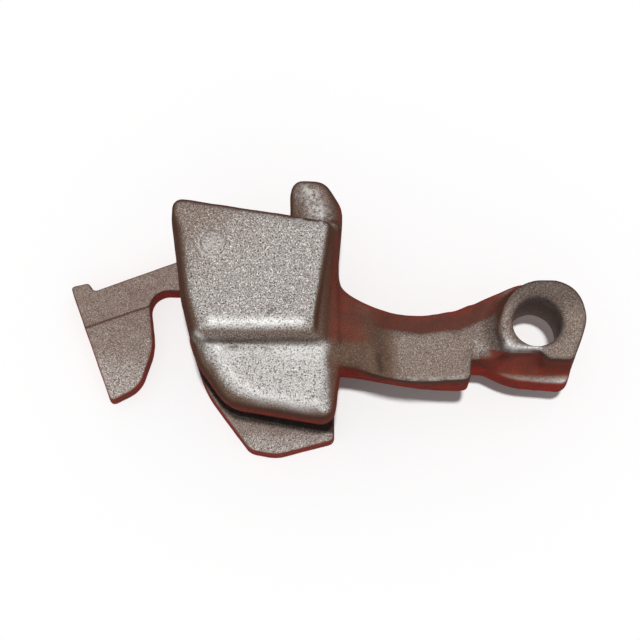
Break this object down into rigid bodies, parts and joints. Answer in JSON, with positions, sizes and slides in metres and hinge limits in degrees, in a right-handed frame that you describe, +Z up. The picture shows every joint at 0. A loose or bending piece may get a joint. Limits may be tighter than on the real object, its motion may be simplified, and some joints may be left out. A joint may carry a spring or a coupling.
{
  "type": "knuckle coupler lock and knuckle thrower",
  "caption": "Two cast steel parts from inside a railway knuckle coupler: the lock with its lift eye, lying on the flat knuckle thrower.",
  "frame": {"origin": "on the flat face that the thrower lies on, under the middle of the thrower's crest", "axes": "+X along the lock's leg to its lift eye, +Y towards the lock's thumb, +Z up, out of the thrower's plate"},
  "size_m": [0.3874, 0.1967, 0.1046],
  "materials": {
    "lock_steel": "shot-blasted cast steel with a grey-brown skin",
    "thrower_steel": "cast steel with a matt brown skin"
  },
  "bodies": {
    "thrower": {"knuckle_thrower": "thrower_steel"},
    "lock": {"lock": "lock_steel"}
  },
  "joints": [
    {"name": "lock_lift_off", "type": "slide", "parent": "thrower", "child": "lock", "axis": [0, 0, 1], "range_m": [0, 0.12]}
  ]
}
